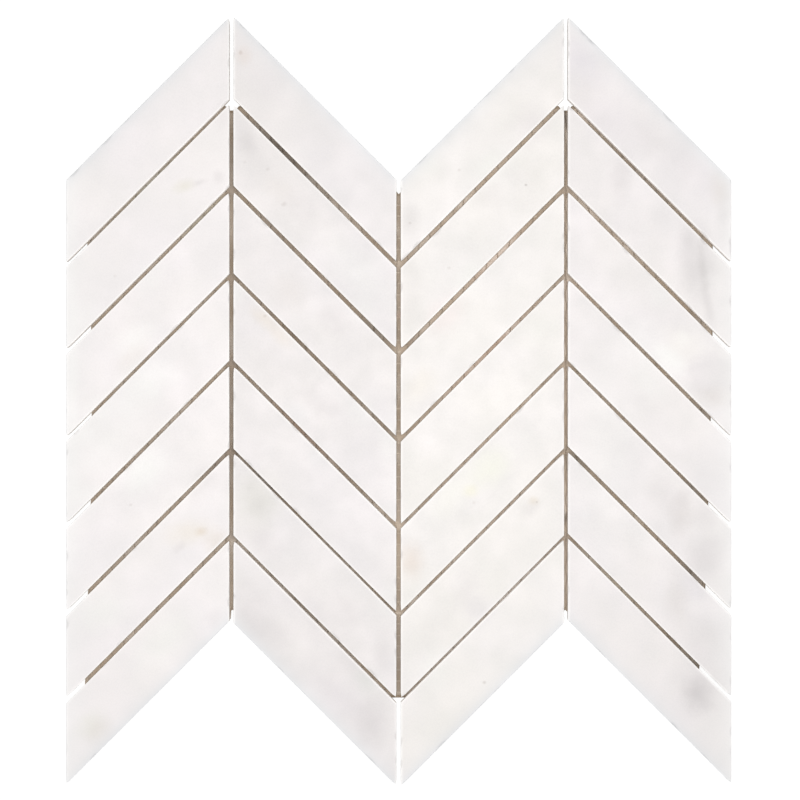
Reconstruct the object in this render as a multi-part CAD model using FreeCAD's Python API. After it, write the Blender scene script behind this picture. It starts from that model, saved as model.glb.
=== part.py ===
import FreeCAD, Part
import math
import os

# Chevron mosaic wall tile: mitred marble pieces glued side by side onto a trimmed glass-fibre mesh.
# All sizes are in millimetres. The sheet lies flat: X runs across the columns, Y runs towards the
# chevron points, and Z rises out of the polished face. The origin is on the underside of the mesh,
# below the middle of the sheet.

# Marble pieces
STRIP_WIDTH = 25.5       # sawn width of the strip that each piece is cut from, square across it
PIECE_LENGTH = 101.6     # long edge of a piece, from one mitre to the other
CHEVRON_ANGLE = 45.0     # slope of every piece away from the X axis, which is also its mitre
STONE_THICKNESS = 9.5
ARRIS = 0.4              # width of the eased edge round the polished face

# Layout
COLUMNS = 4              # the first and third rise to the right, the others fall
ROWS = 7
ROW_JOINT = 1.55         # usual gap between two pieces of one column, square across it
COLUMN_JOINT = 1.6       # upright gap between two columns, at their mitred ends

# How far each gap down a column differs from ROW_JOINT, because the pieces are set by hand.
# One row for each column, from the left, and one number for each gap, from the top.
JOINT_ERRORS = (
    (-0.1, 0.15, -0.05, 0.1, 0.15, 0.25),
    (0.4, 0.3, 0.1, 0.1, -0.35, -0.05),
    (0.4, 0.35, 0.0, -0.1, -0.1, -0.35),
    (0.25, 0.45, 0.2, 0.0, 0.2, -0.1),
)

# How far each gap lies above its even place down the column, along Y, in the same order
JOINT_LIFTS = (
    (0.0, -0.1, -0.15, -0.1, -0.4, -0.15),
    (-0.15, -0.15, -0.3, -0.4, -0.55, -0.6),
    (-0.15, -0.25, -0.3, -0.3, -0.5, -0.4),
    (-0.1, 0.0, -0.2, -0.1, 0.25, 0.4),
)

# How far the two ends of each column lie above their even places, along Y
END_LIFTS = (
    # top, bottom
    (0.0, 0.2),
    (0.0, -0.75),
    (-0.3, -0.75),
    (0.0, 0.55),
)

# Backing mesh, cut back with scissors inside the outline of the stones
MESH_THICKNESS = 0.5
MESH_TOP_MARGIN = 38.7           # from the top points of the stones down to its straight top edge
MESH_BOTTOM_MARGIN = 38.4        # from the bottom points of the stones up to its straight bottom edge
MESH_TOP_NOTCH_MARGIN = 3.5      # from the slanted top edges of the stones to those of the mesh, square across
MESH_BOTTOM_NOTCH_MARGIN = 2.7   # the same at the bottom
MESH_DIP_DEPTH = 2.0             # small notches in the top edge, where it crosses the upright joints
MESH_DIP_WIDTH = 6.0
MESH_DIP_FLOOR = 2.4             # width left at the bottom of such a notch

# The left and right sides of the mesh wander: corners of the cuts, each as its height above the
# bottom edge of the mesh, as a share of the whole, with its margins from the ends of the stones.
MESH_SIDE_CUTS = (
    # height, left, right
    (0.0, 7.4, 14.4),
    (0.2, 9.1, 10.5),
    (0.35, 10.3, 9.3),
    (0.58, 10.8, 7.6),
    (1.0, 6.0, 7.4),
)

SLOPE = math.tan(math.radians(CHEVRON_ANGLE))
ALONG = math.cos(math.radians(CHEVRON_ANGLE))

PIECE_SPAN = PIECE_LENGTH * ALONG        # width of a column
PIECE_RISE = PIECE_SPAN * SLOPE          # how far a piece climbs across its column
COLUMN_PITCH = PIECE_SPAN + COLUMN_JOINT
ROW_PITCH = (STRIP_WIDTH + ROW_JOINT) / ALONG   # from one piece of a column to the next, along Y
MITRE_HEIGHT = STRIP_WIDTH / ALONG       # length of the upright mitred ends, along Y
COLUMN_HEIGHT = (ROWS - 1) * ROW_PITCH + MITRE_HEIGHT

SHEET_WIDTH = COLUMNS * PIECE_SPAN + (COLUMNS - 1) * COLUMN_JOINT
HIGHEST_END = max(top for top, bottom in END_LIFTS)
LOWEST_END = min(bottom for top, bottom in END_LIFTS)
SHEET_HEIGHT = PIECE_RISE + COLUMN_HEIGHT + HIGHEST_END - LOWEST_END
LEFT_X = -SHEET_WIDTH / 2
TOP_Y = SHEET_HEIGHT / 2
COLUMN_TOP = TOP_Y - HIGHEST_END - PIECE_RISE   # even top of a column at the low end of its slope
COLUMN_BOTTOM = COLUMN_TOP - COLUMN_HEIGHT


def rises(column):
    """Whether the pieces of a column climb to the right."""
    return column % 2 == 0


def half_gap(column, row):
    """Half of the gap below a piece, along Y."""
    errors = JOINT_ERRORS[column % len(JOINT_ERRORS)]
    return (ROW_JOINT + errors[row % len(errors)]) / 2 / ALONG


def gap_middle(column, row):
    """Y of the middle of the gap below a piece, at the low end of its slope."""
    lifts = JOINT_LIFTS[column % len(JOINT_LIFTS)]
    even_place = COLUMN_TOP - row * ROW_PITCH - MITRE_HEIGHT - ROW_JOINT / 2 / ALONG
    return even_place + lifts[row % len(lifts)]


def piece_edges(column, row):
    """Y of the top and bottom edges of a piece, at the low end of its slope.

    The gaps lie nearly evenly down a column, and a piece is as wide as the gaps beside it leave it.
    """
    top_lift, bottom_lift = END_LIFTS[column % len(END_LIFTS)]
    top = COLUMN_TOP + top_lift
    if row > 0:
        top = gap_middle(column, row - 1) - half_gap(column, row - 1)
    bottom = COLUMN_BOTTOM + bottom_lift
    if row < ROWS - 1:
        bottom = gap_middle(column, row) + half_gap(column, row)
    return top, bottom


def prism(corners, height):
    """A flat outline raised by a height along Z."""
    outline = Part.makePolygon(corners + corners[:1])
    return Part.Face(outline).extrude(FreeCAD.Vector(0, 0, height))


def stone(column, row):
    """One marble piece: a mitred parallelogram with its polished face eased all round."""
    left = LEFT_X + column * COLUMN_PITCH
    right = left + PIECE_SPAN
    top, bottom = piece_edges(column, row)
    left_lift = 0.0 if rises(column) else PIECE_RISE
    right_lift = PIECE_RISE - left_lift
    corners = [
        FreeCAD.Vector(left, bottom + left_lift, MESH_THICKNESS),
        FreeCAD.Vector(right, bottom + right_lift, MESH_THICKNESS),
        FreeCAD.Vector(right, top + right_lift, MESH_THICKNESS),
        FreeCAD.Vector(left, top + left_lift, MESH_THICKNESS),
    ]
    block = prism(corners, STONE_THICKNESS)
    middle_z = MESH_THICKNESS + STONE_THICKNESS / 2
    face_edges = [edge for edge in block.Edges if edge.BoundBox.ZMin > middle_z]
    return block.makeChamfer(ARRIS, face_edges)


def chevron_line(start_y):
    """The zigzag across the sheet that turns in the middle of each gap between two columns.

    start_y is its height at the left, half a gap outside the first column.
    """
    points = []
    for boundary in range(COLUMNS + 1):
        x = LEFT_X + boundary * COLUMN_PITCH - COLUMN_JOINT / 2
        lift = 0.0 if rises(boundary) else COLUMN_PITCH * SLOPE
        points.append(FreeCAD.Vector(x, start_y + lift, 0))
    return points


def top_cut(y):
    """The top edge of the mesh from right to left, dipping at the two upright joints that it crosses."""
    points = []
    for boundary in reversed(range(1, COLUMNS, 2)):
        x = LEFT_X + boundary * COLUMN_PITCH - COLUMN_JOINT / 2
        points += [
            FreeCAD.Vector(x + MESH_DIP_WIDTH / 2, y, 0),
            FreeCAD.Vector(x + MESH_DIP_FLOOR / 2, y - MESH_DIP_DEPTH, 0),
            FreeCAD.Vector(x - MESH_DIP_FLOOR / 2, y - MESH_DIP_DEPTH, 0),
            FreeCAD.Vector(x - MESH_DIP_WIDTH / 2, y, 0),
        ]
    return points


def backing_mesh():
    """The glass-fibre backing: a sheet between two zigzag cuts, trimmed on its four sides."""
    start_drop = COLUMN_JOINT / 2 * SLOPE
    upper = chevron_line(COLUMN_TOP - start_drop - MESH_TOP_NOTCH_MARGIN / ALONG)
    lower = chevron_line(COLUMN_BOTTOM - start_drop + MESH_BOTTOM_NOTCH_MARGIN / ALONG)
    band = prism(upper + lower[::-1], MESH_THICKNESS)

    bottom = MESH_BOTTOM_MARGIN - TOP_Y
    top = TOP_Y - MESH_TOP_MARGIN
    left_side = []
    right_side = []
    for share, left_margin, right_margin in MESH_SIDE_CUTS:
        y = bottom + share * (top - bottom)
        left_side.append(FreeCAD.Vector(LEFT_X + left_margin, y, 0))
        right_side.append(FreeCAD.Vector(-LEFT_X - right_margin, y, 0))
    trim = prism(right_side + top_cut(top) + left_side[::-1], MESH_THICKNESS)
    return band.common(trim).Solids[0]


def export_node(shape, node):
    shape.exportStep("parts/" + node + ".step")


os.makedirs("parts", exist_ok=True)
export_node(backing_mesh(), "backing_mesh")
for column in range(COLUMNS):
    for row in range(ROWS):
        export_node(stone(column, row), "stone_col{}_row{}".format(column + 1, row + 1))
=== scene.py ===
"""Looks of a marble chevron wall tile, built round its fixed solids.

The sheet lies flat, polished face up, with X across the columns and Y towards the chevron points.
Each marble piece, the resin film and the yarns of the backing mesh are worked out here as surfaces,
and take their places from the solids.
"""

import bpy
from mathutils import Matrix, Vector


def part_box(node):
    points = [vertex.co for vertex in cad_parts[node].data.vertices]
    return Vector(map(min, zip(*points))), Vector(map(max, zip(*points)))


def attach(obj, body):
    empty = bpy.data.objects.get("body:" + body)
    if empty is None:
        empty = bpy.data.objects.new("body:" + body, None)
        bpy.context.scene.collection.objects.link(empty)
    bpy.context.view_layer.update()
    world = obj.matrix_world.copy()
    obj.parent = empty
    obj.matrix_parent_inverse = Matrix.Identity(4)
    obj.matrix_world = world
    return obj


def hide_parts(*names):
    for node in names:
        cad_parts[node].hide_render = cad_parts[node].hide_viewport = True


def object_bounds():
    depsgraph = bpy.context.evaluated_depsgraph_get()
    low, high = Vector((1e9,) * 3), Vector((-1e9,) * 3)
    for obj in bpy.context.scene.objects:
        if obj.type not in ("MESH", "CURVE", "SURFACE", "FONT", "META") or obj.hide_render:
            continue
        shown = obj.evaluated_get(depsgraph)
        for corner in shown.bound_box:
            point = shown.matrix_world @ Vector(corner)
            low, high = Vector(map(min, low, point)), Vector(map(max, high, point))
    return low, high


bl_info = {
    "name": "Chevron Wall Tile",
    "version": (1, 0, 0),
    "blender": (4, 5, 0),
    "location": "View3D > Sidebar > Chevron Tile",
    "description": "Cuts the marble pieces, weaves the backing mesh behind them and sets the stage",
    "category": "Mesh",
}

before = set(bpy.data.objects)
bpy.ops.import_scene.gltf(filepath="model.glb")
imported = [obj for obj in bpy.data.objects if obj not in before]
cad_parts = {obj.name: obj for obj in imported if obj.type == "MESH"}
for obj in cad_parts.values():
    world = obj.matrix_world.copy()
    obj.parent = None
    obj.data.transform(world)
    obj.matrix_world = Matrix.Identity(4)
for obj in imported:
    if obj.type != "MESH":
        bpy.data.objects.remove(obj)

import math
from collections import namedtuple

import bpy
import numpy as np

CAD_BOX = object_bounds()


def column_and_row(node):
    """Column, from the left, and row, from the top, of a marble piece, as its node's name gives them."""
    return tuple(int(word[3:]) for word in node.split("_")[1:])


MM = 0.001
SLOPE = 1.0                     # every piece runs at 45 degrees to the columns
SHARP_CORNER = 45.0             # degrees between a long edge and a mitred end
SQUARE_ACROSS = math.sqrt(0.5)  # from a height along Y to a distance square to a slanted edge
FLOOR_HALF = 3.0                # half the width of the floor, in metres
STONE_NODES = sorted(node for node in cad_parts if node.startswith("stone_"))
LAST_COLUMN, LAST_ROW = max(column_and_row(node) for node in STONE_NODES)
BACKING_NODE = "backing_mesh"

Stone = namedtuple("Stone", "node column row left low bottom width mitre top rising")
Mark = namedtuple("Mark", "x y long wide turn colour strength soft", defaults=[1.0])

# Colours of the marks in the polished faces
GREY = "#CFCACB"
LILAC = "#DCD5DA"
BROWN = "#D9CDC2"
RUST = "#D9B595"
SAND = "#EADFC8"
SAGE = "#E3E3D9"
PALE = "#F5F7F1"
MILK = "#FCFCF9"
SPECK = "#B3AAA4"

# How much short of its solid a piece is cut at its left and right mitred ends, in millimetres, for
# each column from the left. The upright joints are a little wider than the solids leave them.
END_TRIMS = ((0.0, 0.28), (0.0, 0.25), (0.07, 0.0), (0.12, 0.0))

# How far into the polished face the rings of the grid stand that lie close to its rim, and how far
# down the sawn sides the rings of the walls stand, as a share of their height
RIM_RINGS = (0, 0.06, 0.16, 0.35, 0.8, 1.4)
WALL_RINGS = (0.2, 0.6, 1.0)

# How far beyond its half length and half width a mark is gone, as a share of its soft border
FADE = 0.8

# Stains and clouds in the polished faces, placed one by one: middle in millimetres from the middle of
# the sheet, half length and half width in millimetres, turn in degrees, colour, strength from 0 to
# 1, and the share of the mark over which it fades out, which is the whole of it where none is given.
MARKS = (
    # First column
    Mark(-124.7, 55.1, 0.7, 0.6, 0, SPECK, 0.15, 0.8),
    Mark(-117.7, -45.4, 0.7, 0.6, 0, SPECK, 0.22, 0.8),
    Mark(-115.9, 27.5, 8, 4.5, 30, MILK, 0.48),
    Mark(-111.5, -29.6, 10, 7, 40, MILK, 0.75),
    Mark(-117, 19, 8, 4, 45, SAND, 0.14),
    Mark(-131, -5, 8, 5, 45, MILK, 0.45),
    Mark(-103, -105, 14, 7, 45, PALE, 0.40),
    Mark(-130, -92, 10, 7, 20, PALE, 0.40),
    Mark(-112, 7, 13, 8, 45, MILK, 0.62),
    Mark(-128, -18, 14, 7, 45, MILK, 0.35),
    Mark(-143.8, 16, 2.6, 70, 0, MILK, 0.38),
    Mark(-139, -14.5, 5, 4.5, 45, MILK, 0.42),
    Mark(-139, 36, 7, 5, 45, MILK, 0.32),
    Mark(-142, -38, 3.5, 5, 0, MILK, 0.36),
    Mark(-110, 54, 7, 5, 45, MILK, 0.26),
    Mark(-79.3, 98.8, 2.2, 2.6, 0, GREY, 0.30),
    Mark(-80.6, -95.8, 3.5, 3.8, 0, GREY, 0.32),
    Mark(-137, -42.5, 6, 4.5, 45, MILK, 0.42),
    Mark(-85.6, -36, 7, 5, 45, GREY, 0.36),
    Mark(-76, -35, 4, 5, 0, GREY, 0.24),
    Mark(-80.5, -61, 5, 4, 45, "#D6CABA", 0.40),
    Mark(-77, 125, 4, 5, 0, GREY, 0.30),
    Mark(-87.8, 96, 2.6, 1.1, 20, GREY, 0.36),
    Mark(-94.5, 94.6, 4, 2.4, 20, "#DEDBC6", 0.42),
    Mark(-86.9, -57.2, 2.4, 1.8, 10, "#D2BEA4", 0.45),
    Mark(-92, -57.5, 9, 4.5, 10, SAND, 0.32),
    Mark(-96.2, -63.8, 3, 1.6, 40, GREY, 0.30),
    Mark(-132.4, -144.3, 6, 4.5, 40, "#D9D3C6", 0.42),
    Mark(-136, -141, 7, 4, 40, SAGE, 0.45),
    # Second column
    Mark(-69.5, 153.2, 0.8, 0.9, 0, "#A08878", 0.30, 0.8),
    Mark(-68.2, 152.0, 3.0, 3.6, 0, RUST, 0.15),
    Mark(-58.8, 138.5, 10, 7, -45, LILAC, 0.14),
    Mark(-66.8, 114.8, 3.5, 6, 10, GREY, 0.34),
    Mark(-62, 108, 6, 9, 10, GREY, 0.14),
    Mark(-18, 58, 16, 8, -45, MILK, 0.38),
    Mark(-55, 18, 15, 8, -45, GREY, 0.12),
    Mark(-67.6, 105.2, 0.8, 0.7, 0, SPECK, 0.14, 0.8),
    Mark(-57.5, 102.1, 0.9, 0.7, 30, SPECK, 0.22, 0.8),
    Mark(-50.4, 86.7, 1.2, 0.9, 30, SPECK, 0.30, 0.8),
    Mark(-51, 93, 8, 5, -30, BROWN, 0.14),
    Mark(-42.5, 85, 7, 5, -45, GREY, 0.32),
    Mark(-29, 35.5, 7, 4.5, -45, GREY, 0.36),
    Mark(-15.5, 40, 6, 4.5, -45, MILK, 0.45),
    Mark(-36, 0, 8, 5, -45, GREY, 0.38),
    Mark(-17, -4, 7, 5, -45, MILK, 0.40),
    Mark(-4.5, -16, 4, 8, 0, MILK, 0.38),
    Mark(-3.5, -50, 3.5, 5, 0, MILK, 0.36),
    Mark(-46, -6, 6, 4.5, -45, "#CACED1", 0.30),
    Mark(-35, -25, 7, 4.5, -45, "#CBCECE", 0.28),
    Mark(-21, -116, 6, 4.5, -45, GREY, 0.28),
    Mark(-71, 48, 2.5, 4, 0, MILK, 0.42),
    Mark(-22.3, -92.4, 7, 5, -45, GREY, 0.36),
    Mark(-58.8, -61.6, 7, 4.5, -45, GREY, 0.34),
    Mark(-53, -102, 6, 5, -45, GREY, 0.34),
    Mark(-7, -110, 4, 7, 0, GREY, 0.32),
    Mark(-14, -122.5, 6, 5, -45, "#CCD1CA", 0.36),
    Mark(-48, 48, 8, 6, -45, BROWN, 0.15),
    Mark(-58.8, 37.6, 0.8, 0.7, 0, SPECK, 0.40, 0.8),
    Mark(-58.8, 36, 7, 3, -42, "#E2CFAE", 0.26),
    Mark(-50.8, 28.2, 5, 3.2, -42, "#E2CFAE", 0.22),
    Mark(-4.5, -87, 4.5, 7, 0, MILK, 0.38),
    Mark(-62.1, -43.6, 9, 10, 0, SAGE, 0.55),
    Mark(-62, -45, 5, 8, 20, GREY, 0.22),
    Mark(-63.5, -96.5, 7, 13, 10, GREY, 0.50),
    Mark(-52, -116, 11, 7, -45, GREY, 0.20),
    Mark(-26, -131, 17, 8, -45, LILAC, 0.35),
    Mark(-12, -142, 6, 11, -10, GREY, 0.42),
    Mark(-38, -95, 22, 9, -45, LILAC, 0.18),
    # Third column
    Mark(55.9, 95.1, 0.6, 0.55, 0, "#8A837D", 0.42, 0.7),
    Mark(26.5, 101.7, 0.7, 0.6, 0, SPECK, 0.28, 0.8),
    Mark(4.9, 78.4, 0.7, 0.6, 0, SPECK, 0.40, 0.8),
    Mark(22.1, 58.6, 0.8, 0.6, 0, SPECK, 0.22, 0.8),
    Mark(33.1, -44.5, 0.8, 0.7, 0, SPECK, 0.18, 0.8),
    Mark(37.5, -123.5, 0.8, 0.7, 0, SPECK, 0.45, 0.8),
    Mark(18.1, 46.4, 7, 4, 45, GREY, 0.16),
    Mark(59.2, -43.6, 2.0, 1.6, 0, "#DCC9A8", 0.36),
    Mark(60.6, -44.2, 0.5, 0.5, 0, SPECK, 0.50, 0.8),
    Mark(31.3, -39.2, 3, 2.4, 20, "#F4EFCC", 0.42),
    Mark(5.4, -70, 4.5, 7, 0, "#D2B49C", 0.30),
    Mark(5, 80, 4, 9, 0, GREY, 0.28),
    Mark(5.5, 50, 4.5, 22, 0, GREY, 0.28),
    Mark(10.5, -2, 6, 4.5, 45, GREY, 0.40),
    Mark(20, 38, 9, 6, 45, "#F0DFE0", 0.42),
    Mark(11, 105, 5, 5, 45, MILK, 0.38),
    Mark(40, 89, 5, 7, 0, GREY, 0.28),
    Mark(40, -29, 9, 6, 45, "#FDFDF0", 0.55),
    Mark(24, -40, 12, 6, 45, "#FBFBF0", 0.30),
    Mark(29.5, -83, 6, 8, 0, LILAC, 0.30),
    Mark(35, -91.5, 6, 5, 20, "#CFCAD2", 0.32),
    Mark(9, 7, 8, 5, 45, "#DED5C6", 0.30),
    Mark(60.5, 1.5, 5, 4, 45, "#D0CFCE", 0.28),
    Mark(58, 121, 8, 8, 0, LILAC, 0.40),
    Mark(40, 103, 8, 5.5, 45, MILK, 0.48),
    Mark(58, -47, 4, 3, 45, GREY, 0.40),
    Mark(31, 55.5, 7, 4.5, 45, MILK, 0.40),
    Mark(62, 32, 7, 5, 45, MILK, 0.24),
    Mark(16, -117, 5, 9, 0, MILK, 0.32),
    Mark(55, 94, 16, 8, 45, GREY, 0.12),
    Mark(18, -96, 15, 8, 45, GREY, 0.12),
    # Fourth column
    Mark(108.2, 116.6, 10, 6, -45, GREY, 0.26),
    Mark(90, -22, 12, 42, 0, MILK, 0.28),
    Mark(88, 127, 15, 8, -45, LILAC, 0.28),
    Mark(81, 150, 11, 8, -45, "#D8D4E0", 0.40),
    Mark(97.5, 99, 4.5, 9, 0, GREY, 0.42),
    Mark(142.8, 82, 3, 13, 0, "#C9C6C6", 0.42),
    Mark(132, 101, 13, 8, -45, LILAC, 0.28),
    Mark(141.2, 94.6, 4, 7, 0, BROWN, 0.35),
    Mark(130.8, 61, 7, 15, 0, "#C8C4C5", 0.46, 0.8),
    Mark(133.8, 57, 1.6, 12, 6, "#ADA8A6", 0.22),
    Mark(136, 41, 2, 8, 14, GREY, 0.38),
    Mark(126, 70, 3.5, 7, 0, "#C4C0C2", 0.28),
    Mark(108, -59, 8, 5, -45, MILK, 0.22),
    Mark(130, -81.5, 6, 5, -45, "#CBC8D0", 0.24),
    Mark(124.9, 27, 3.4, 3.6, 0, "#FFFFFC", 0.75, 0.8),
    Mark(125.6, 24.6, 9.5, 7.5, 0, "#FEFAF6", 0.66, 0.8),
    Mark(119.5, 18.5, 7.5, 4, -40, "#FFFFFC", 0.75),
    Mark(108, 24, 13, 8, -45, MILK, 0.32),
    Mark(109.5, 8.5, 8, 5, -45, MILK, 0.40),
    Mark(115.5, 48, 5, 5, -45, MILK, 0.34),
    Mark(138, 11.6, 10.8, 9.8, 0, "#D4CFD2", 0.29, 0.4),
    Mark(139, 2, 7, 4, 0, BROWN, 0.24),
    Mark(119, -42.6, 9, 6, -40, GREY, 0.26),
    Mark(136.1, -68.0, 8, 9, -30, GREY, 0.48),
    Mark(124, -49.5, 4.5, 8, 0, "#C9C3C1", 0.44),
    Mark(134, -50, 5, 5, 0, GREY, 0.34),
    Mark(122.5, -88, 4.5, 10, 0, "#CBC4BE", 0.24),
    Mark(133.5, -103.2, 8, 9, 0, GREY, 0.28),
    Mark(131.5, -128.4, 6, 6.5, 20, "#ABA7A9", 0.50),
    Mark(133, -124, 10, 13, 0, GREY, 0.30),
)

# Darker and lighter patches on the mesh, where the joints show them, given as the marks are
MESH_PATCHES_AND_SHADE = (
    # Wide: darker under the second column and the first upright joint, paler under the third
    # column and the last upright joint
    Mark(-36.7, 0, 34, 110, 0, "#8F7F70", 0.20, 0.4),
    Mark(-73.6, 15, 3, 80, 0, "#8A7866", 0.30, 0.5),
    Mark(38, 0, 32, 110, 0, "#D2C2B0", 0.45, 0.4),
    Mark(73.6, 0, 2.4, 100, 0, "#DBC8B2", 0.55, 0.4),
    # Under the first column
    Mark(-110, -48, 34, 46, 0, "#8F7F70", 0.24, 0.6),
    Mark(-109, 97, 20, 6, 45, "#B9B9A6", 0.40),
    Mark(-88, 84, 12, 6, 45, "#B9B9A6", 0.50),
    Mark(-82, -28, 7, 7, 45, "#7D6F62", 0.60),
    # Under the second column
    Mark(-52, 107, 23, 8, -45, "#463C33", 0.82),
    Mark(-45, 29, 9, 5, -45, "#7A6550", 0.40),
    Mark(-11, 32, 7, 6, -45, "#6E5F48", 0.60),
    Mark(-42, -13, 20, 5, -45, "#9A7868", 0.40),
    Mark(-60, -34.4, 13, 5, -45, "#6A6258", 0.50),
    Mark(-6, -50, 6, 6, -45, "#D0C2B2", 0.60),
    Mark(-58, 76, 14, 6, -45, "#7D6D5C", 0.30),
    Mark(-36.8, -95.9, 24, 6, -45, "#7A7068", 0.30),
    # Under the third column
    Mark(42, 62, 18, 6, 45, "#D8BCA8", 0.32),
    Mark(6, 28, 4, 4, 45, "#8E7C6A", 0.45),
    Mark(40, 22, 22, 6, 45, "#D8BCA8", 0.50),
    Mark(46, -10, 20, 6, 45, "#D6C4AE", 0.50),
    Mark(45, -86, 30, 6, 45, "#DCD2C8", 0.60),
    # Under the fourth column
    Mark(108, 97, 24, 6, -45, "#7F6E5D", 0.35),
    Mark(80, 126, 5, 6, -45, "#D2C0AE", 0.60),
    Mark(131, 37, 6, 6, -45, "#7F6E5D", 0.35),
    Mark(92, 77, 22, 6, -45, "#CDBBA8", 0.50),
    Mark(80, 49, 8, 6, -45, "#D2C0AE", 0.70),
    Mark(88, 3, 14, 6, -45, "#C8B8A4", 0.45),
    Mark(133.7, -4.3, 5, 5, -45, "#6B6157", 0.40),
    Mark(130.2, -38.8, 7, 5, -45, "#655B52", 0.45),
    Mark(78, -26, 6, 5, -45, "#6E6656", 0.60),
    Mark(107, -50, 8, 6, -45, "#C8BAA6", 0.50),
    Mark(129, -76, 8, 5, -45, "#635A51", 0.60),
    Mark(94, -79, 16, 6, -45, "#D4CCBC", 0.60),
    Mark(122, -107, 7, 6, -45, "#655B50", 0.40),
    Mark(130, -116, 5, 4, -45, "#574E45", 0.60),
    # Under the three upright joints
    Mark(-73.6, 108, 3, 14, 0, "#665646", 0.45),
    Mark(-73.6, 78, 3, 8, 0, "#D0C2B2", 0.50),
    Mark(-73.6, -8, 3, 28, 0, "#72624F", 0.30),
    Mark(0, -67, 2.4, 12, 0, "#D8C6B0", 0.50),
    Mark(0, -112, 3, 14, 0, "#85776E", 0.40),
    Mark(0, 38, 1.6, 1.6, 0, "#B08468", 0.40),
    Mark(73.5, 125, 3, 4, 0, "#5A4C3C", 0.70),
    Mark(73.5, -51, 3, 2.5, 0, "#6E6050", 0.60),
)

# Painted shade where the tips of four pieces meet, one dark patch every row, in millimetres
MESH_PATCHES_AND_SHADE += tuple(
    Mark(x, 93.2 - 38.25 * row, 2.6, 2.2, 0, "#6A5A4A", 0.45)
    for x in (-73.7, 73.7) for row in range(5))

# Half the height of a yarn that runs across and the sides of its tube, the same for one that runs
# up, and how far the two yarns of a pair lie above and below the middle
WEFT_RISE, WEFT_SIDES = 0.08 * MM, 6
WARP_RISE, WARP_SIDES = 0.085 * MM, 4
PAIR_LIFT = 0.155 * MM

# Half the thickness of the resin film, how far it lies above the middle of its solid, how deep it
# sags in the openings, and the number of lines of its grid from bottom to top
FILM_HALF, FILM_LIFT, FILM_SAG = 0.05 * MM, 0.04 * MM, 0.03 * MM
FILM_LINES = 150

# Yarns that hang out of the cut edge of the mesh into a joint: x, and y of both ends, in millimetres
LOOSE_ENDS = ((-74.3, -91.6, -95.9),)


class MarbleSettings(bpy.types.PropertyGroup):
    """Sizes and colours of the marble pieces."""

    arris: bpy.props.FloatProperty(
        name="Arris", description="Usual radius of the eased edge round the polished face",
        default=0.16 * MM, unit="LENGTH")
    lippage: bpy.props.FloatProperty(
        name="Lippage", description="Most that one polished face stands lower than another",
        default=0.12 * MM, unit="LENGTH")
    blunting: bpy.props.FloatProperty(
        name="Blunting", description="Most that a sharp corner has lost from its tip",
        default=0.9 * MM, unit="LENGTH")
    blunt_reach: bpy.props.FloatProperty(
        name="Blunt reach", description="How far from a sharp corner its blunting starts",
        default=3.5 * MM, unit="LENGTH")
    # Painted highlight: the bright edge is a paler line along the jointed edges, as eased edges catch light
    highlight_width: bpy.props.FloatProperty(
        name="Bright edge", description="Width of the paler line along the edges of a polished face",
        default=0.9 * MM, unit="LENGTH")
    wander: bpy.props.FloatProperty(
        name="Edge wander", description="Share by which the eased edge grows and shrinks along a piece",
        default=0.35)
    chips: bpy.props.IntProperty(
        name="Chips", description="Small chips along each edge of a piece", default=3, min=0)
    chip_depth: bpy.props.FloatProperty(
        name="Chip depth", description="Depth that the deepest chips come near to",
        default=1.4 * MM, unit="LENGTH")
    grid: bpy.props.FloatProperty(
        name="Grid", description="Spacing of the surface grid", default=0.8 * MM, unit="LENGTH")
    body: bpy.props.StringProperty(
        name="Body colour", description="Colour of the marble", default="#F2EEEE")
    # Painted shade: falling columns 2 and 4 are greyer where their honing marks cross the light; the rest
    # is own tone
    tints: bpy.props.StringProperty(
        name="Column tints", description="Tint of the pieces of each column, from the left",
        default="#FFFFFF #F7F7F7 #FDFEFB #F9F9F9")
    cool: bpy.props.StringProperty(
        name="Cool cloud", description="Colour of the lilac grey clouds", default="#F1EDEE")
    warm: bpy.props.StringProperty(
        name="Warm cloud", description="Colour of the cream clouds", default="#F3EFEE")
    bright: bpy.props.StringProperty(
        name="Bright edge colour", description="Colour of the paler line along the edges",
        default="#FAF9F8")
    glow: bpy.props.StringProperty(
        name="Glow colour", description="Light that has passed through the stone and leaves by its sides",
        default="#837D78")
    # Painted shade: the rim colour darkens and cools the face near the free slanted edges of the sheet
    rim_shade_reach: bpy.props.FloatProperty(
        name="Rim reach", description="How far in from a free slanted edge the rim colour fades",
        default=2.6 * MM, unit="LENGTH")
    rim: bpy.props.StringProperty(
        name="Rim colour", description="Colour of the stone where light passes out through a free edge",
        default="#DFE1E4")
    # Painted light: the side colour makes the face paler near the free upright edges of the sheet
    side_reach: bpy.props.FloatProperty(
        name="Side reach", description="How far in from a free upright edge the side colour fades",
        default=6 * MM, unit="LENGTH")
    side: bpy.props.StringProperty(
        name="Side colour", description="Colour of the stone along a free upright edge", default="#F4F5F5")
    lit_edge: bpy.props.FloatProperty(
        name="Lit edge", description="Width of the line along an edge where light comes out",
        default=0.6 * MM, unit="LENGTH")
    left_lit: bpy.props.FloatProperty(
        name="Left lit edge", description="Share of the real distance that counts at a left end",
        default=0.55)
    lit: bpy.props.StringProperty(
        name="Lit colour", description="Light that has passed through the stone and leaves by such an edge",
        default="#505050")
    upright_shade: bpy.props.FloatProperty(
        name="Upright shade", description="Share of the glow that the upright sides lack", default=0.25)
    side_light_strength: bpy.props.FloatProperty(
        name="Side strength", description="How much of the side colour shows at the very edge", default=0.5)


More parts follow.
